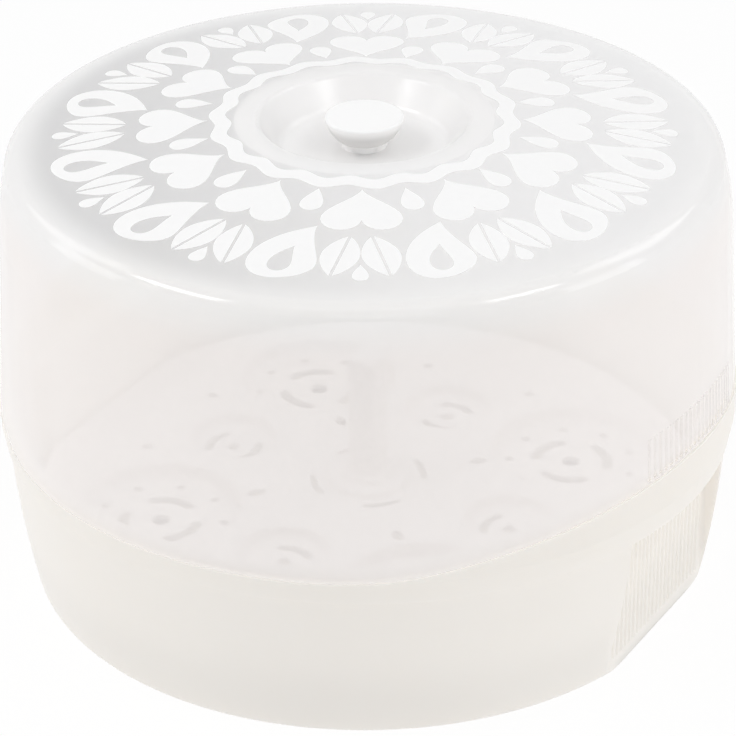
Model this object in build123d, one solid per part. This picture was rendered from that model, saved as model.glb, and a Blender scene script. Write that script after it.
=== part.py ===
from build123d import *
import math
import os

# Round microwave steam sterilizer: a bowl for the water, a rack that the bottles stand in, with a square
# post to lift it by, and a domed lid with a knob in a dish.
# The origin is the middle of the face that the bowl stands on. +Z is up. The two grips face +X and -X.

# Joint between bowl and lid. It lies flat at the front and back and climbs over each grip.
rim_radius = 137.0
seam_height = 68.0
seam_rise = 14.0
seam_flat = 22.0
seam_blend = 90.0
seat_gap = 0.3

# Bowl.
bowl_wall = 2.2
bowl_floor = 2.3
bowl_taper = 7.5
heel_round = 3.0
inner_heel_round = 5.0
foot_width = 19.6
foot_height = 1.5
band_height = 8.6
band_flare = 1.5
band_overhang = 1.2
wall_bulge = 1.3
lip_height = 4.0
lip_thickness = 1.4
lip_clearance = 0.6

# Grips: a flat pocket cut into the bowl under its rim, and the ribs in it and on the lid above it.
grip_half_length = 39.5
grip_draft = 3.0
grip_depth = 12.8
grip_corner_round = 1.5
rib_pitch = 3.2
rib_width = 1.9
rib_top_width = 0.8
rib_height = 0.8
rib_margin = 2.8
rib_low_end = 6.0
lid_rib_start = 1.5
lid_rib_end = 18.0
lid_rib_inset = 6.5

# Lid.
lid_wall = 2.0
lid_bulge_lift = 42.0
lid_bulge_inset = 2.3
shoulder_drop = 18.9
shoulder_inset = 4.7
shoulder_lean = 4.1
shoulder_blend = 80.0
shoulder_round = 6.5
shoulder_band = 18.5
top_edge_height = 170.9
ring_radius = 46.7
ring_rise = 7.1
ring_width = 8.7
ring_crown = 0.4
dish_taper = 8.0
dish_depth = 11.0
ring_round = 2.5
dish_round = 4.0

# Knob and the neck it snaps into.
neck_radius = 8.2
neck_height = 2.8
neck_round = 0.6
stem_radius = 4.0
stem_clearance = 0.1
barb_overhang = 0.7
barb_length = 3.0
barb_gap = 0.2
stem_slit = 1.6
stem_root = 1.0
knob_radius = 14.3
knob_foot_radius = 9.4
knob_height = 8.6
knob_crown = 0.4
knob_edge_round = 0.8
knob_swell = 1.1

# Rack.
rack_height = 28.0
rack_plate = 2.0
rack_clearance = 3.5
rack_skirt = 8.0
rack_edge_round = 1.4
rack_flat_clearance = 0.8
well_wall = 2.0
well_draft = 0.12
well_round = 1.5
bottle_well_radius = 31.0
bottle_well_depth = 6.0
bottle_well_border = 13.0
teat_well_radius = 17.0
teat_well_depth = 4.5
teat_well_circle = 61.0
leg_radius = 8.0
leg_wall = 1.8
leg_notch_width = 5.0
leg_notch_height = 4.0
well_slot_circle = 14.0
well_slot_width = 4.4
well_slot_turn = 62.0
well_slot_count = 3
well_hole_circle = 24.0
well_hole_radius = 1.8
well_hole_count = 9
well_drain_radius = 3.6
teat_slot_circle = 9.5
teat_slot_width = 3.6
teat_slot_turn = 74.0
teat_slot_count = 2
teat_drain_radius = 2.6
hub_radius = 16.0
hub_height = 2.4
hub_round = 1.2
hub_slot_circle = 21.0
hub_slot_width = 2.6
hub_slot_turn = 34.0
land_oval_circle = 43.5
land_oval_length = 7.0
land_oval_width = 4.6
land_hole_circle = 89.0
land_hole_radius = 2.0
land_hole_turn = 15.0

# Lifting post.
post_side = 12.4
post_top_side = 11.6
post_wall = 1.8
post_length = 50.6
post_corner_round = 2.4
post_top_round = 1.8
collar_side = 17.0
collar_height = 1.8
post_clearance = 0.1
hook_length = 3.0
hook_overhang = 0.9
hook_width = 6.0
hook_gap = 0.2

quarter_turns = (0, 90, 180, 270)
half_turns = (0, 180)
margin = 10.0

# Sizes that follow from the ones above.
reach = rim_radius + margin
seam_half_span = rim_radius - seam_flat
crease_height = seam_height - band_height
crease_radius = rim_radius - band_flare - band_overhang
heel_radius = crease_radius - bowl_taper
foot_inner_radius = heel_radius - foot_width
floor_top = foot_height + bowl_floor
lip_inset = lid_wall + lip_clearance
grip_floor = crease_radius - grip_depth
lid_bulge_height = seam_height + lid_bulge_lift
lid_bulge_radius = rim_radius - lid_bulge_inset
shoulder_height = top_edge_height - shoulder_drop
shoulder_radius = rim_radius - shoulder_inset
corner_radius = shoulder_radius - shoulder_lean
top_edge_radius = shoulder_radius - shoulder_band
ring_height = top_edge_height + ring_rise
dish_radius = ring_radius - ring_width
dish_floor_radius = dish_radius - dish_taper
dish_floor_height = ring_height + ring_crown - dish_depth
neck_top = dish_floor_height + neck_height
dish_slope = (dish_radius - dish_floor_radius) / dish_depth
top_slope = (ring_height - top_edge_height) / (top_edge_radius - ring_radius)
corner_height = top_edge_height - (corner_radius - top_edge_radius) * top_slope
plate_under = rack_height - rack_plate
hub_top = rack_height + hub_height
post_top_height = hub_top + post_length


def turned(outline, rounds=()):
    """Solid of revolution about Z, from edges drawn in X and Z, with the corners at rounds made round."""
    face = make_face(Plane.XZ * outline)
    for (across, up), radius in rounds:
        corner = face.vertices().sort_by_distance((across, 0, up))[0]
        face = fillet(corner, radius)
    return revolve(face, Axis.Z)


def bowl_radius(height, inset=0.0):
    """Radius of the bowl's tapering, slightly swollen wall at a height, or of a surface inside it."""
    share = height / crease_height
    swell = 4 * wall_bulge * share * (1 - share)
    return heel_radius + (crease_radius - heel_radius) * share + swell - inset


rack_radius = bowl_radius(rack_height - rack_skirt, bowl_wall) - rack_clearance
bottle_well_circle = rack_radius - bottle_well_border - bottle_well_radius


def above_seam(lift):
    """Everything over the wavy joint, with the joint raised by lift."""
    low = seam_height + lift
    top = ring_height + reach
    start, end = (-seam_half_span, low), (seam_half_span, low)
    line = Line((-reach, low), start)
    line += ThreePointArc(start, (0, low + seam_rise), end)
    line += Polyline(end, (reach, low), (reach, top), (-reach, top), (-reach, low))
    face = make_face(Plane.YZ * line)
    for across in (-seam_half_span, seam_half_span):
        corner = face.vertices().sort_by_distance((0, across, low))[0]
        face = fillet(corner, seam_blend)
    return extrude(face, reach, both=True)


def rib_section(sunk):
    """A moulded rib seen from above, standing out along +X, its foot sunk into what carries it."""
    half, half_top = rib_width / 2, rib_top_width / 2
    outline = Polyline(
        (-sunk, -half), (0, -half), (rib_height, -half_top), (rib_height, half_top), (0, half), (-sunk, half),
        (-sunk, -half),
    )
    return make_face(outline)


def curved_slot(circle, width, turn, centre_turn):
    """Round-ended slot that follows a circle about the origin."""
    return Rot(0, 0, centre_turn) * SlotArc(
        CenterArc((0, 0), circle, -turn / 2, turn), height=width
    )


def lid_side(inset):
    """The lid's side from the joint to the shoulder, drawn in X and Z and moved in by inset."""
    return ThreePointArc(
        (rim_radius - inset, seam_height),
        (lid_bulge_radius - inset, lid_bulge_height),
        (shoulder_radius - inset, shoulder_height),
    )


def outer_bowl():
    """The bowl's outside, solid, up to the wavy joint, with the locating lip that stands above it."""
    ring_top = foot_inner_radius + foot_height
    wall = ThreePointArc(
        (heel_radius, 0), (bowl_radius(crease_height / 2), crease_height / 2), (crease_radius, crease_height)
    )
    band_foot = crease_radius + band_overhang
    outline = Polyline((0, foot_height), (foot_inner_radius, foot_height), (ring_top, 0), (heel_radius, 0))
    outline += wall
    outline += Polyline(
        (crease_radius, crease_height), (band_foot, crease_height), (rim_radius, seam_height),
        (rim_radius, seam_height + seam_rise + margin), (0, seam_height + seam_rise + margin), (0, foot_height),
    )
    body = turned(outline, [((heel_radius, 0), heel_round)]) - above_seam(0)
    lip_edge = rim_radius - lip_inset
    lip_blank = turned(
        lid_side(lip_inset) + Polyline(
            (shoulder_radius - lip_inset, shoulder_height), (0, shoulder_height), (0, crease_height),
            (lip_edge, crease_height), (lip_edge, seam_height),
        )
    )
    return body + (lip_blank - above_seam(lip_height))


def bowl_hollow():
    """The space inside the bowl, before the grips reach into it."""
    inset = lip_inset + lip_thickness
    low, high = floor_top, crease_height
    middle = (low + high) / 2
    outline = Line((0, low), (bowl_radius(low, bowl_wall), low))
    outline += ThreePointArc(
        (bowl_radius(low, bowl_wall), low),
        (bowl_radius(middle, bowl_wall), middle),
        (bowl_radius(high, bowl_wall), high),
    )
    outline += Line((bowl_radius(high, bowl_wall), high), (rim_radius - inset, seam_height))
    outline += lid_side(inset)
    outline += Polyline((shoulder_radius - inset, shoulder_height), (0, shoulder_height), (0, low))
    return turned(outline, [((bowl_radius(low, bowl_wall), low), inner_heel_round)])


def grip_block(inset):
    """Block that cuts one grip's flat pocket, or the wall behind it when inset is the wall's thickness."""
    low, high = -margin, crease_height + inset
    wide, narrow = [grip_half_length - grip_draft * height / crease_height + inset for height in (low, high)]
    outline = Polyline((-wide, low), (wide, low), (narrow, high), (-narrow, high), (-wide, low))
    block = Pos(grip_floor - inset, 0, 0) * extrude(make_face(Plane.YZ * outline), reach - grip_floor)
    upright = block.edges().group_by(Axis.X)[0].sort_by(Axis.Y)
    return fillet([upright[0], upright[-1]], grip_corner_round + inset)


def make_bowl():
    """Water bowl with a flat ribbed pocket on each side, a wavy rim, and a foot ring."""
    outside = outer_bowl()
    hollow = bowl_hollow()
    for angle in half_turns:
        outside -= Rot(0, 0, angle) * grip_block(0)
        hollow -= Rot(0, 0, angle) * grip_block(bowl_wall)
    bowl = outside - hollow
    room = 2 * (grip_half_length - grip_draft - rib_margin)
    count = int(room / rib_pitch) + 1
    one = Pos(0, 0, rib_low_end) * extrude(rib_section(bowl_wall / 2), crease_height - rib_low_end)
    ribs = [
        Rot(0, 0, angle) * Pos(grip_floor, (i - (count - 1) / 2) * rib_pitch, 0) * one
        for angle in half_turns
        for i in range(count)
    ]
    return bowl + ribs


def lid_form(inset):
    """Solid that fills the space under the lid's outer surface, moved in by inset."""
    corner = (corner_radius - inset, corner_height - inset)
    crest = ring_height + ring_crown - inset
    floor = dish_floor_height - inset
    spread = inset * (math.hypot(1, dish_slope) - dish_slope)
    foot = seam_height - margin
    top = Polyline(
        (shoulder_radius - inset, shoulder_height), corner,
        (ring_radius, ring_height - inset), (dish_radius + spread, crest), (dish_floor_radius + spread, floor),
        (0, floor), (0, foot), (rim_radius - inset, foot), (rim_radius - inset, seam_height),
    )
    rounds = [
        ((shoulder_radius - inset, shoulder_height), shoulder_blend - inset),
        (corner, shoulder_round - inset),
        ((dish_radius + spread, crest), ring_round - inset),
        ((dish_floor_radius + spread, floor), dish_round + inset),
    ]
    return turned(lid_side(inset) + top, rounds)


def lid_ribs():
    """Ribs up the lid's side over one grip, from just above its edge, their tops following the wavy joint."""
    turn = math.degrees(rib_pitch / rim_radius)
    half_count = int((grip_half_length - lid_rib_inset) / rib_pitch)
    path = Plane.XZ * lid_side(0)
    start = Plane(origin=path @ 0, x_dir=(1, 0, 0), z_dir=path % 0)
    bar = sweep(start * rib_section(lid_wall / 2), path=path)
    bars = Part() + [Rot(0, 0, i * turn) * bar for i in range(-half_count, half_count + 1)]
    return (bars & above_seam(lid_rib_start)) - above_seam(lid_rib_end)


def make_lid():
    """Domed lid: a thin shell with a dish in its top, a bored neck for the knob, and ribs over each grip."""
    neck = Pos(0, 0, dish_floor_height - lid_wall) * Cylinder(
        neck_radius, neck_height + lid_wall, align=(Align.CENTER, Align.CENTER, Align.MIN)
    )
    neck = fillet(neck.edges().group_by(Axis.Z)[-1], neck_round)
    bore = Pos(0, 0, dish_floor_height) * Cylinder(stem_radius + stem_clearance, 2 * reach)
    shell = lid_form(0) + neck - lid_form(lid_wall) - bore
    lid = shell & above_seam(seat_gap)
    ribs = lid_ribs()
    return lid + [Rot(0, 0, angle) * ribs for angle in half_turns]


def make_knob():
    """White knob: a bowl-shaped head that widens upwards, on a split stem that snaps under the dish."""
    top = neck_top + knob_height
    middle = (knob_radius + knob_foot_radius) / 2 + knob_swell
    side = ThreePointArc((knob_foot_radius, neck_top), (middle, (neck_top + top) / 2), (knob_radius, top))
    crown_radius = (knob_radius**2 + knob_crown**2) / (2 * knob_crown)
    crown = RadiusArc((knob_radius, top), (0, top + knob_crown), -crown_radius)
    close = Polyline((0, top + knob_crown), (0, neck_top), (knob_foot_radius, neck_top))
    head = turned(side + crown + close, [((knob_radius, top), knob_edge_round)])
    barb_top = dish_floor_height - lid_wall - barb_gap
    barb_foot = barb_top - barb_length
    barb_radius = stem_radius + barb_overhang
    stem = turned(
        Polyline(
            (0, neck_top + stem_root), (stem_radius, neck_top + stem_root), (stem_radius, barb_top),
            (barb_radius, barb_top), (stem_radius - barb_overhang, barb_foot), (0, barb_foot),
            (0, neck_top + stem_root),
        )
    )
    slit_height = neck_top - barb_foot
    slit = Pos(0, 0, barb_foot + slit_height / 2) * Box(stem_slit, 2 * barb_radius, slit_height)
    return head + (stem - slit)


def rack_outline(inset):
    """The rack seen from above: a circle with a flat at each grip."""
    flat = grip_floor - bowl_wall - rack_flat_clearance - inset
    return Circle(rack_radius - inset) & Rectangle(2 * flat, 2 * rack_radius)


def well(radius, depth, grow):
    """Round well sunk from the rack's top, or its outside when grow is the thickness of its wall."""
    top, floor = rack_height, rack_height - depth - grow
    foot = radius - depth * well_draft + grow
    outline = Polyline((0, top), (radius + grow, top), (foot, floor), (0, floor), (0, top))
    return turned(outline, [((foot, floor), well_round + grow)])


def through(sketch):
    """Cut that goes right through the rack, from a drawing of it seen from above."""
    return Pos(0, 0, rack_height - margin) * extrude(sketch, 2 * margin)


def bottle_well_cuts():
    """Drain openings in the floor of a bottle well: arcs round the leg, small holes round the arcs."""
    arcs = [
        curved_slot(well_slot_circle, well_slot_width, well_slot_turn, i * 360 / well_slot_count)
        for i in range(well_slot_count)
    ]
    holes = PolarLocations(well_hole_circle, well_hole_count) * Circle(well_hole_radius)
    return through(Sketch() + arcs + holes + Circle(well_drain_radius))


def teat_well_cuts():
    """Drain openings in the floor of a small well: facing arcs round a hole."""
    arcs = [
        curved_slot(teat_slot_circle, teat_slot_width, teat_slot_turn, i * 360 / teat_slot_count)
        for i in range(teat_slot_count)
    ]
    return through(Sketch() + arcs + Circle(teat_drain_radius))


def land_cuts():
    """Openings in the flat of the rack between its wells."""
    slots = [curved_slot(hub_slot_circle, hub_slot_width, hub_slot_turn, angle + 45) for angle in quarter_turns]
    ovals = [
        Rot(0, 0, angle + 45) * Pos(land_oval_circle, 0) * Ellipse(land_oval_length / 2, land_oval_width / 2)
        for angle in quarter_turns
    ]
    holes = [
        Rot(0, 0, angle + turn) * Pos(land_hole_circle, 0) * Circle(land_hole_radius)
        for angle in quarter_turns
        for turn in (-land_hole_turn, land_hole_turn)
    ]
    return through(Sketch() + slots + ovals + holes)


def leg():
    """Hollow leg under a bottle well, notched at its foot so that water runs through."""
    length = rack_height - bottle_well_depth - well_wall - floor_top
    tube = Cylinder(leg_radius, length) - Cylinder(leg_radius - leg_wall, length)
    notch = Pos(0, 0, (leg_notch_height - length) / 2) * Box(leg_notch_width, 2 * reach, leg_notch_height)
    return Pos(0, 0, floor_top + length / 2) * (tube - notch)


def make_rack():
    """Rack that stands in the bowl: a skirted plate with round wells, drain openings, a hub and legs."""
    skirt_low = rack_height - rack_skirt
    rack = Pos(0, 0, skirt_low) * extrude(rack_outline(0), rack_skirt)
    rack = fillet(rack.edges().group_by(Axis.Z)[-1], rack_edge_round)
    rack -= Pos(0, 0, skirt_low) * extrude(rack_outline(rack_plate), rack_skirt - rack_plate)
    hub = Pos(0, 0, plate_under) * Cylinder(
        hub_radius, rack_plate + hub_height, align=(Align.CENTER, Align.CENTER, Align.MIN)
    )
    rack += fillet(hub.edges().group_by(Axis.Z)[-1], hub_round)
    bottle_places = [Rot(0, 0, angle + 45) * Pos(bottle_well_circle, 0, 0) for angle in quarter_turns]
    teat_places = [Rot(0, 0, angle) * Pos(teat_well_circle, 0, 0) for angle in quarter_turns]
    bottle_cup = well(bottle_well_radius, bottle_well_depth, well_wall)
    teat_cup = well(teat_well_radius, teat_well_depth, well_wall)
    rack += [place * bottle_cup for place in bottle_places]
    rack += [place * teat_cup for place in teat_places]
    bottle_cut = well(bottle_well_radius, bottle_well_depth, 0) + bottle_well_cuts()
    teat_cut = well(teat_well_radius, teat_well_depth, 0) + teat_well_cuts()
    rack -= [place * bottle_cut for place in bottle_places]
    rack -= [place * teat_cut for place in teat_places]
    rack += [place * leg() for place in bottle_places]
    socket = post_side + 2 * post_clearance
    return rack - land_cuts() - through(Rectangle(socket, socket))


def tapered_square(low, high, low_side, high_side, corner):
    """Upright square bar with round corners that narrows from low to high."""
    foot = Pos(0, 0, low) * RectangleRounded(low_side, low_side, corner)
    head = Pos(0, 0, high) * RectangleRounded(high_side, high_side, corner)
    return loft([foot, head])


def make_post():
    """Square lifting post: hollow, with a collar on the hub and two hooks that snap under the plate."""
    shaft = tapered_square(hub_top, post_top_height, post_side, post_top_side, post_corner_round)
    shaft = fillet(shaft.edges().group_by(Axis.Z)[-1], post_top_round)
    collar = Pos(0, 0, hub_top) * extrude(RectangleRounded(collar_side, collar_side, post_corner_round), collar_height)
    collar = fillet(collar.edges().group_by(Axis.Z)[-1], collar_height / 2)
    shank_height = hub_top - plate_under
    shank = Pos(0, 0, plate_under) * extrude(Rectangle(post_side, post_side), shank_height)
    hook_top = plate_under - hook_gap
    hook_low = hook_top - hook_length
    half = post_side / 2
    outline = Polyline(
        (half - post_wall, hub_top), (half, hub_top), (half, hook_top), (half + hook_overhang, hook_top),
        (half, hook_low), (half - post_wall, hook_low), (half - post_wall, hub_top),
    )
    hook = extrude(make_face(Plane.YZ * outline), hook_width / 2, both=True)
    bore_low = plate_under - hook_length
    bore = tapered_square(
        bore_low,
        post_top_height - post_wall,
        post_side - 2 * post_wall,
        post_top_side - 2 * post_wall,
        post_corner_round / 2,
    )
    solid = shaft + collar + shank - bore
    return solid + [Rot(0, 0, angle) * hook for angle in half_turns]


parts = {
    "base_bowl": make_bowl(),
    "bottle_rack": make_rack(),
    "rack_post": make_post(),
    "lid": make_lid(),
    "knob": make_knob(),
}

os.makedirs("parts", exist_ok=True)
for node, shape in parts.items():
    export_step(shape, f"parts/{node}.step")
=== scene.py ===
import math
import bmesh
import bpy
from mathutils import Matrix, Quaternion, Vector
from mathutils.bvhtree import BVHTree
from mathutils.geometry import tessellate_polygon


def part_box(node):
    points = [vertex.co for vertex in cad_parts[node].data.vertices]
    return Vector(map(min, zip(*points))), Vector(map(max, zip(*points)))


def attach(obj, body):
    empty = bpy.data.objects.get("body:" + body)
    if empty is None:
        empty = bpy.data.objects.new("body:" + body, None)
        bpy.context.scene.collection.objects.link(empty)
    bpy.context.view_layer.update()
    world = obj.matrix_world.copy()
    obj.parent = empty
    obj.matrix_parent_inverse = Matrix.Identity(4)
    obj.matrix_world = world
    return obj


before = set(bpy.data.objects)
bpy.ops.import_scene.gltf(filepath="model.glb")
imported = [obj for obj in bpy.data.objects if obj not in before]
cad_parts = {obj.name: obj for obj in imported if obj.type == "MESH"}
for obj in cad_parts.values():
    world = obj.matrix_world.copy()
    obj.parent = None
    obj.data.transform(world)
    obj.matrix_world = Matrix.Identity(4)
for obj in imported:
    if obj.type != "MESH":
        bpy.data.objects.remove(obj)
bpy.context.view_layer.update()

# Camera, fitted to the rim, the crease and the top circle.
view_turn = math.radians(31.0)
view_tilt = math.radians(29.31)
view_roll = math.radians(-0.694)
view_distance = 1.192
view_target = Vector((0.0, 0.0, 0.075))
lens_mm = 156.19
sensor_mm = 36.0
shift_right = 0.001
shift_up = 0.001

# Print on the lid's top, in millimetres.
print_inner = 46.7
print_outer = 113.8
ink_lift = 0.08
ink_depth = 0.1
ink_cell = 6.0

# Fineness of the print's outlines, and how often a motif comes round.
motif_count = 12
outline_steps = 48
leaf_steps = 16
wave_steps = 20
leaf_fullness = 0.8
drop_fullness = 1.4

# Zones over which a finish changes, in millimetres from the axis or above the foot.
dish_zone = (36.0, 42.0)
rib_zone = (98.0, 102.0)
crown_zone = (150.0, 166.0)
flat_top_zone = (160.0, 164.0)
# Below this zone the knob's side is painted darker, as painted shade.
knob_painted_shade_zone = (174.5, 178.5)

# How far the edge of the knob's painted shade wavers, and how far past the print its band fades, in
# millimetres.
knob_painted_shade_waver = 1.0
band_edge = 1.0
band_fade = 14.0

# Way from the axis to the side of the lid's top where brighter reflected light is painted into the bare
# plastic's colour, and the zone along it, in millimetres.
painted_light_side_way = (0.86, 0.51, 0.0)
painted_light_side_zone = (-110.0, 50.0)

# Plastics. The haze of the lid is the share of light that its wall stops.
plastic_ior = 1.49
haze_plain = 0.48
haze_drift = 0.06
haze_turned_away = 0.30
haze_in_band = 0.15
haze_lost_on_ribs = 0.8
dish_dulling = 0.15
clear_passes = 0.99
cloudy_passes = 0.8

# Room and lamps. The sky's stops run from its horizon, 0, to straight up, 1.
floor_size = 6.0
floor_glow = 0.85
floor_bounce = 1.1
sky_light = 0.82
sky_stops = ((0.0, 0.0), (0.45, 1.0), (1.0, 0.475))
lamp_distance = 1.8
square_lamp = (0.9, 0.9)


class Field:
    """A number that changes over a surface: sums on it add Math nodes behind its socket."""

    def __init__(self, finish, socket):
        self.finish = finish
        self.socket = socket

    def math(self, operation, *others):
        values = dict(enumerate((self, *others)))
        return self.finish.node("Math", {"operation": operation}, values)

    def __add__(self, other):
        return self.math("ADD", other)

    def __rsub__(self, other):
        return (self * -1).math("ADD", other)

    def __mul__(self, other):
        return self.math("MULTIPLY", other)

    def __pow__(self, other):
        return self.math("POWER", other)

    __radd__ = __add__
    __rmul__ = __mul__


class Finish:
    """The nodes of one material, or of the sky."""

    def __init__(self, owner):
        owner.use_nodes = True
        self.owner = owner
        self.tree = owner.node_tree
        self.tree.nodes.clear()

    def node(self, kind, settings=None, sockets=None, out=0):
        made = self.tree.nodes.new("ShaderNode" + kind)
        for name, value in (settings or {}).items():
            if name == "stops":
                self.set_stops(made.color_ramp, value)
            else:
                setattr(made, name, value)
        for key, value in (sockets or {}).items():
            if isinstance(value, Field):
                self.tree.links.new(value.socket, made.inputs[key])
            else:
                made.inputs[key].default_value = value
        return Field(self, made.outputs[out]) if made.outputs else None

    def set_stops(self, ramp, stops):
        while len(ramp.elements) < len(stops):
            ramp.elements.new(1.0)
        for element, (place, value) in zip(ramp.elements, stops):
            element.position = place
            element.color = grey(value)

    def ramp(self, factor, *stops):
        """A number looked up along stops of (place, value)."""
        return self.node("ValToRGB", {"stops": stops}, {"Fac": factor})

    def tint(self, factor, first, second):
        """Colour between two others. The Mix node takes colours at 6 and 7, and gives one at 2."""
        return self.node("Mix", {"data_type": "RGBA"}, {0: factor, 6: first, 7: second}, out=2)

    def vector(self, operation, first, second=(0, 0, 0), out="Vector"):
        return self.node("VectorMath", {"operation": operation}, {0: first, 1: second}, out)

    def place(self, kind="Object"):
        return self.node("TexCoord", out=kind)

    def noise(self, scale, detail):
        """Soft noise from 0 to 1 with the given number of waves to the metre."""
        return self.node("TexNoise", {}, {"Vector": self.place(), "Scale": scale, "Detail": detail})

    def outward(self):
        """From the object's upright axis to the point on the surface, in metres."""
        return self.vector("MULTIPLY", self.place(), (1, 1, 0))

    def radius(self):
        """Distance from the object's upright axis, in metres."""
        return self.vector("LENGTH", self.outward(), out="Value")

    def height(self, kind="Object"):
        return self.node("SeparateXYZ", {}, {0: self.place(kind)}, out="Z")

    def step(self, value, low, high):
        """0 below low, 1 above high and smooth between."""
        sockets = {"Value": value, "From Min": low, "From Max": high}
        return self.node("MapRange", {"interpolation_type": "SMOOTHSTEP"}, sockets)

    def beyond(self, distance, zone):
        """0 before a zone, which is in millimetres, 1 past it and smooth between."""
        return self.step(distance, zone[0] / 1000, zone[1] / 1000)

    def print_band(self):
        """1 on the lid's top where the print lies, fading out over the shoulder."""
        radius = self.radius()
        inside = self.beyond(radius, (print_inner - band_edge, print_inner + band_edge))
        outside = self.beyond(radius, (print_outer - band_edge, print_outer + band_fade))
        return inside * (1 - outside) * self.beyond(self.height(), flat_top_zone)

    def in_dish(self):
        """1 in the dish round the knob, where handling has dulled the gloss."""
        return 1 - self.beyond(self.radius(), dish_zone)

    def painted_light_side(self):
        """0 on one side of the lid's top and 1 on the other: painted reflected light, which makes the bare
        plastic paler on that side.
        """
        across = self.vector("DOT_PRODUCT", self.place(), painted_light_side_way, out="Value")
        return self.beyond(across, painted_light_side_zone)

    def rib_sides(self):
        """1 on the flanks of the lid's ribs, which face sideways, and 0 elsewhere."""
        outward = self.vector("NORMALIZE", self.outward())
        facing_out = self.vector("DOT_PRODUCT", outward, self.place("Normal"), out="Value")
        wall = self.step(facing_out * facing_out, 0.2, 0.9)
        return (1 - wall) * (1 - self.beyond(self.height(), rib_zone))

    def bump(self, height, depth):
        """Relief of the given depth, in millimetres."""
        return self.node("Bump", {}, {"Height": height, "Distance": depth / 1000})

    def plastic(self, colour, roughness, relief, more=None):
        """Shader of a moulded plastic, with what more its sockets take."""
        sockets = {"Base Color": colour, "Roughness": roughness, "IOR": plastic_ior, "Normal": relief}
        return self.node("BsdfPrincipled", {}, {**sockets, **(more or {})})

    def lets_light_in(self, shader, share, *kinds):
        """The shader as it looks, which passes a share of the light that falls on it to what lies behind."""
        passed = self.node("BsdfTransparent", {}, {"Color": grey(share)})
        for kind in kinds:
            of_kind = self.node("LightPath", out=kind)
            shader = self.node("MixShader", {}, {0: of_kind, 1: shader, 2: passed})
        return shader

    def surface(self, shader):
        target = "OutputWorld" if isinstance(self.owner, bpy.types.World) else "OutputMaterial"
        self.node(target, {}, {"Surface": shader})
        return self.owner


def new_finish(name):
    return Finish(bpy.data.materials.new(name))


def rgba(red, green, blue):
    return (red, green, blue, 1.0)


def grey(level):
    return rgba(level, level, level)


def seen_directly(finish):
    """1 for rays from the camera, and those that gloss or clear plastic sends on, else 0."""
    kinds = ("Is Camera Ray", "Is Glossy Ray", "Is Transmission Ray")
    rays = [finish.node("LightPath", out=kind) for kind in kinds]
    return rays[0].math("MAXIMUM", rays[1]).math("MAXIMUM", rays[2])


def milky_bowl():
    """Cloudy bowl plastic: an even satin with the faint drift of colour that a thick moulding has."""
    finish = new_finish("milky_bowl_plastic")
    drift = finish.noise(9.0, detail=3.0)
    grain = finish.noise(900.0, detail=2.0)
    shader = finish.plastic(
        finish.tint(drift, rgba(0.81, 0.77, 0.715), rgba(0.86, 0.825, 0.78)),
        finish.ramp(drift, (0.3, 0.34), (0.7, 0.42)),
        finish.bump(grain, 0.02),
        {"Subsurface Weight": 0.3, "Subsurface Radius": (0.012, 0.011, 0.010), "Subsurface Scale": 1.0},
    )
    return finish.surface(finish.lets_light_in(shader, cloudy_passes, "Is Shadow Ray"))


def clear_lid():
    """Thin clear plastic with a slight haze that thickens where the wall turns away."""
    finish = new_finish("clear_lid_plastic")
    drift = finish.noise(7.0, detail=3.0)
    grain = finish.noise(500.0, detail=2.0)
    away = finish.node("LayerWeight", {}, {"Blend": 0.5}, out="Facing")
    band = finish.print_band()
    haze = haze_plain + haze_drift * drift + haze_turned_away * away ** 3 + haze_in_band * band
    haze = haze * (1 - haze_lost_on_ribs * finish.rib_sides())
    side = finish.tint(drift, rgba(0.87, 0.83, 0.815), rgba(0.90, 0.865, 0.855))
    # Painted shade: the crown's colour turns a darker grey where its surface turns away from view, at the
    # shoulder's edge.
    crown_with_painted_edge_shade = finish.tint(away ** 2, rgba(0.90, 0.90, 0.905), grey(0.80))
    body = finish.tint(finish.beyond(finish.height(), crown_zone), side, crown_with_painted_edge_shade)
    # Painted reflection: between the print's shapes the bare plastic is a darker grey, painted paler towards
    # one side.
    bare_with_painted_light_side = finish.tint(finish.painted_light_side(), rgba(0.615, 0.615, 0.62), rgba(0.80, 0.80, 0.805))
    shader = finish.plastic(
        finish.tint(band, body, bare_with_painted_light_side),
        finish.ramp(drift, (0.3, 0.07), (0.7, 0.12)) + dish_dulling * finish.in_dish(),
        finish.bump(grain, 0.01),
        {"Specular IOR Level": 0.9, "Alpha": haze},
    )
    return finish.surface(finish.lets_light_in(shader, clear_passes, "Is Shadow Ray", "Is Diffuse Ray"))


def rack_plastic(name):
    """White translucent moulding of the rack and its post."""
    finish = new_finish(name)
    drift = finish.noise(14.0, detail=3.0)
    grain = finish.noise(700.0, detail=2.0)
    shader = finish.plastic(
        finish.tint(drift, rgba(0.84, 0.805, 0.785), rgba(0.87, 0.84, 0.825)),
        finish.ramp(drift, (0.3, 0.32), (0.7, 0.4)),
        finish.bump(grain, 0.02),
    )
    return finish.surface(finish.lets_light_in(shader, cloudy_passes, "Is Shadow Ray"))


def white_knob():
    """Opaque white knob, polished, with painted shade: its side is painted a darker grey than its face."""
    finish = new_finish("white_knob_plastic")
    drift = finish.noise(60.0, detail=2.0)
    # Painted shade: the side under the knob's face is given a darker grey.
    face_above_painted_shade = finish.beyond(finish.height() + knob_painted_shade_waver / 1000 * drift, knob_painted_shade_zone)
    shader = finish.plastic(
        finish.tint(face_above_painted_shade, grey(0.67), grey(0.92)),
        finish.ramp(drift, (0.3, 0.18), (0.7, 0.26)),
        finish.bump(drift, 0.05),
    )
    return finish.surface(shader)


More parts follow.
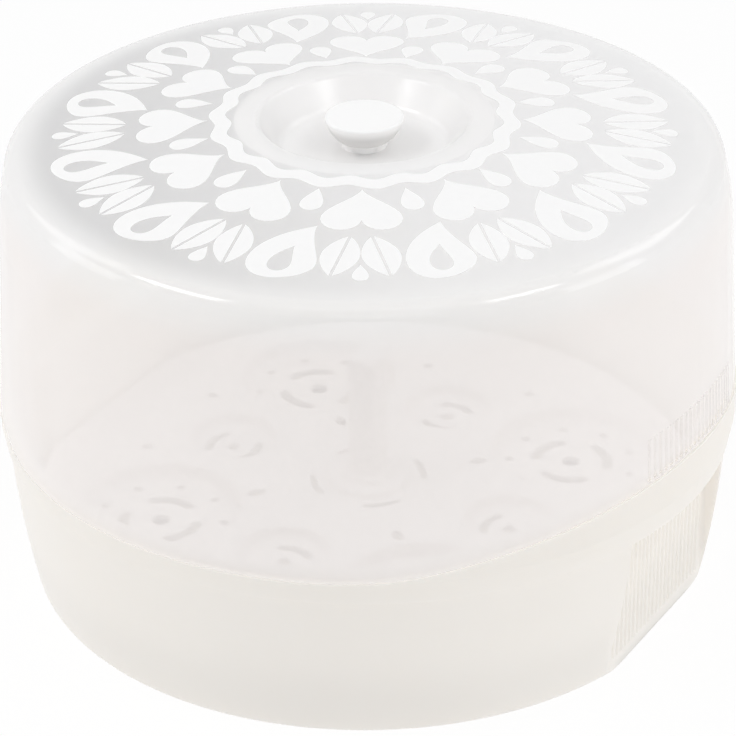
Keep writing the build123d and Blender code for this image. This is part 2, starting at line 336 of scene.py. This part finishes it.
def printed_ink():
    """White ink, a little duller than the plastic, with the faint mottle of a pad print."""
    finish = new_finish("white_print_ink")
    mottle = finish.noise(350.0, detail=3.0)
    shader = finish.plastic(
        finish.tint(mottle, grey(0.89), grey(0.92)),
        finish.ramp(mottle, (0.3, 0.38), (0.7, 0.5)),
        finish.bump(mottle, 0.01),
    )
    return finish.surface(finish.lets_light_in(shader, cloudy_passes, "Is Shadow Ray"))


def round_path(count, point):
    """Closed outline through the points that a formula gives at even steps of one turn."""
    return [point(math.tau * step / count) for step in range(count)]


def heart(width):
    """Outline of a heart, its tip towards the lid's middle."""
    # The curve is 32 wide before it is scaled.
    def point(turn):
        across = 16 * math.sin(turn) ** 3
        out = 13 * math.cos(turn) - 5 * math.cos(2 * turn) - 2 * math.cos(3 * turn) - math.cos(4 * turn)
        return across * width / 32, out * width / 32
    return round_path(outline_steps, point)


def drop(length, width, bend=0.0):
    """Outline of a water drop, its tip towards the lid's middle, with its length bent to one side."""
    # Half the width is raised to 0.65 of it, because the sines are never both at their highest.
    def point(turn):
        across = 0.65 * width * math.sin(turn) * math.sin(turn / 2) ** drop_fullness
        out = -length / 2 * math.cos(turn)
        if not bend:
            return across, out
        arm = 1 / bend
        return arm - (arm - across) * math.cos(out * bend), (arm - across) * math.sin(out * bend)
    return round_path(outline_steps, point)


def half_leaf(length, width, vein, side):
    """Outline of one half of a leaf, beside the bare line that stands for its vein."""
    def point(step):
        bulge = math.sin(math.pi * step / leaf_steps) ** leaf_fullness
        return vein / 2 + width / 2 * bulge, length * (step / leaf_steps - 0.5)

    edge = [point(step) for step in range(leaf_steps + 1)]
    beside_vein = [(vein / 2, length * (0.5 - step / leaf_steps)) for step in range(1, leaf_steps)]
    return [(side * across, out) for across, out in edge + beside_vein]


def moved(outline, across, out, turn=0.0):
    """The outline turned, in degrees, and then moved."""
    cosine, sine = math.cos(math.radians(turn)), math.sin(math.radians(turn))
    return [(x * cosine - y * sine + across, x * sine + y * cosine + out) for x, y in outline]


def leaf(across, turn):
    """The two halves of one leaf of a sprout."""
    halves = [half_leaf(length=24.0, width=12.0, vein=1.1, side=side) for side in (1, -1)]
    return [[moved(half, across, 0.0, turn)] for half in halves]


def swirl():
    """A bent drop with a bent drop-shaped hole in it."""
    outside = moved(drop(length=34.0, width=25.5, bend=0.022), across=0.7, out=0.0, turn=8.0)
    hole = moved(drop(length=16.0, width=8.5, bend=0.03), across=0.2, out=5.0, turn=8.0)
    return [outside, hole]


def wavy_ring(radius, swing, waves, width):
    """Ribbon that waves round the dish: its outer edge, then its inner one."""
    def edge(side):
        def point(turn):
            reach = radius + swing * math.sin(waves * turn) + side * width / 2
            return reach * math.cos(turn), reach * math.sin(turn)
        return round_path(wave_steps * waves, point)
    return [edge(1), edge(-1)]


def wreath(shapes, radius, start=0.0):
    """Copies of the shapes set evenly round the lid. A shape is an outline and the holes in it."""
    made = []
    for step in range(motif_count):
        turn = math.tau * (step + start) / motif_count
        cosine, sine = math.cos(turn), math.sin(turn)
        for shape in shapes:
            made.append([
                [((radius + out) * cosine - across * sine, (radius + out) * sine + across * cosine)
                 for across, out in outline]
                for outline in shape
            ])
    return made


def print_layout():
    """A wreath of hearts, drops and leaves, in millimetres from the lid's middle."""
    shapes = [wavy_ring(radius=51.8, swing=1.3, waves=18, width=6.0)]
    shapes += wreath([[heart(width=28.0)]], radius=71.0)
    shapes += wreath([[drop(length=14.0, width=8.5)]], radius=64.0, start=0.5)
    shapes += wreath([swirl()], radius=96.0, start=0.5)
    shapes += wreath(leaf(across=-6.9, turn=15.0) + leaf(across=6.9, turn=-15.0), radius=97.5)
    shapes += wreath([[drop(length=9.5, width=6.0)]], radius=107.5)
    return shapes


def flat_print():
    """The print's shapes as one flat mesh, cut by a grid so that it can bend."""
    mesh = bmesh.new()
    for shape in print_layout():
        outlines = [[Vector((x, y, 0.0)) / 1000 for x, y in outline] for outline in shape]
        corners = [mesh.verts.new(point) for outline in outlines for point in outline]
        for triangle in tessellate_polygon(outlines):
            mesh.faces.new([corners[i] for i in triangle])
    lines = int(print_outer / ink_cell)
    for direction in (Vector((1, 0, 0)), Vector((0, 1, 0))):
        for line in range(-lines, lines + 1):
            every = mesh.verts[:] + mesh.edges[:] + mesh.faces[:]
            at = direction * line * ink_cell / 1000
            bmesh.ops.bisect_plane(mesh, geom=every, dist=1e-7, plane_co=at, plane_no=direction)
    return mesh


def make_print():
    """The white print: a film of ink that follows the slope of the lid's top."""
    mesh = flat_print()
    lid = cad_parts["lid"].data
    tree = BVHTree.FromPolygons([v.co for v in lid.vertices], [p.vertices for p in lid.polygons])
    above = 2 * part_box("lid")[1].z
    for corner in mesh.verts:
        hit = tree.ray_cast(Vector((corner.co.x, corner.co.y, above)), Vector((0, 0, -1)))[0]
        corner.co.z = hit.z + ink_lift / 1000
    bmesh.ops.recalc_face_normals(mesh, faces=mesh.faces[:])
    data = bpy.data.meshes.new("lid_print")
    mesh.to_mesh(data)
    mesh.free()
    data.materials.append(printed_ink())
    film = bpy.data.objects.new("lid_print", data)
    bpy.context.scene.collection.objects.link(film)
    body = film.modifiers.new("ink_thickness", "SOLIDIFY")
    body.thickness = ink_depth / 1000
    body.offset = -1
    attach(film, "cover")


def set_material(node, material):
    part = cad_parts[node]
    part.data.materials.clear()
    part.data.materials.append(material)


def dress_parts():
    set_material("base_bowl", milky_bowl())
    set_material("lid", clear_lid())
    set_material("bottle_rack", rack_plastic("rack_plastic_white"))
    set_material("rack_post", rack_plastic("post_plastic_white"))
    set_material("knob", white_knob())


def make_floor():
    """Plain white floor that keeps the object's soft shadow and throws light up at its foot."""
    half = floor_size / 2
    mesh = bpy.data.meshes.new("studio_floor")
    corners = [(-half, -half, 0), (half, -half, 0), (half, half, 0), (-half, half, 0)]
    mesh.from_pydata(corners, [], [(0, 1, 2, 3)])
    floor = bpy.data.objects.new("studio_floor", mesh)
    bpy.context.scene.collection.objects.link(floor)
    finish = new_finish("studio_floor_white")
    lit = finish.node("BsdfDiffuse", {}, {"Color": grey(0.95)})
    strength = floor_bounce + (1 - floor_bounce) * seen_directly(finish)
    glow = finish.node("Emission", {}, {"Color": grey(1), "Strength": strength})
    mesh.materials.append(finish.surface(finish.node("MixShader", {}, {0: floor_glow, 1: lit, 2: glow})))


def make_sky():
    """Surroundings that look plain white, and light the object most from about 27 degrees up."""
    world = bpy.data.worlds.new("studio_sky")
    bpy.context.scene.world = world
    finish = Finish(world)
    lit = sky_light * finish.ramp(finish.height("Generated"), *sky_stops)
    strength = lit + (1 - lit) * seen_directly(finish)
    finish.surface(finish.node("Background", {}, {"Color": grey(1), "Strength": strength}))


def bearing(turn, tilt):
    """Direction from the object to an eye or a lamp: turn 0 is the front, and grows towards +X."""
    return Vector((math.sin(turn) * math.cos(tilt), -math.cos(turn) * math.cos(tilt), math.sin(tilt)))


def make_lamp(name, turn, tilt, size, power):
    """Soft lamp that looks at the object from a bearing and a height, both in degrees."""
    data = bpy.data.lights.new(name, "AREA")
    data.shape = "RECTANGLE"
    data.size, data.size_y = size
    data.energy = power
    lamp = bpy.data.objects.new(name, data)
    bpy.context.scene.collection.objects.link(lamp)
    lamp.location = view_target + lamp_distance * bearing(math.radians(turn), math.radians(tilt))
    lamp.rotation_euler = (view_target - lamp.location).to_track_quat("-Z", "Y").to_euler()


def make_lamps():
    """Square lamps light the walls evenly, and narrow ones draw the streaks on the lid's shoulder."""
    make_lamp("front_left_lamp", -42, 50, (0.8, 0.3), 6.3)
    make_lamp("front_strip", 31, 68, (1.0, 0.1), 1.0)
    make_lamp("left_lamp", -90, 40, square_lamp, 2.9)
    make_lamp("low_left_lamp", -60, 12, square_lamp, 2.9)
    make_lamp("right_lamp", 90, 50, (0.6, 0.3), 3.5)
    make_lamp("back_lamp", 150, 45, square_lamp, 3.8)
    make_lamp("low_right_lamp", 105, 12, square_lamp, 3.8)
    make_lamp("front_lamp", 35, 30, square_lamp, 1.7)


def make_camera():
    data = bpy.data.cameras.new("camera")
    data.lens = lens_mm
    data.sensor_width = sensor_mm
    data.shift_x = shift_right
    data.shift_y = shift_up
    camera = bpy.data.objects.new("camera", data)
    bpy.context.scene.collection.objects.link(camera)
    camera.location = view_target + view_distance * bearing(view_turn, view_tilt)
    aim = (view_target - camera.location).to_track_quat("-Z", "Y")
    camera.rotation_euler = (aim @ Quaternion((0, 0, 1), view_roll)).to_euler()
    bpy.context.scene.camera = camera


bpy.context.scene.view_settings.view_transform = "Standard"
make_camera()
make_floor()
make_sky()
make_lamps()
dress_parts()
make_print()
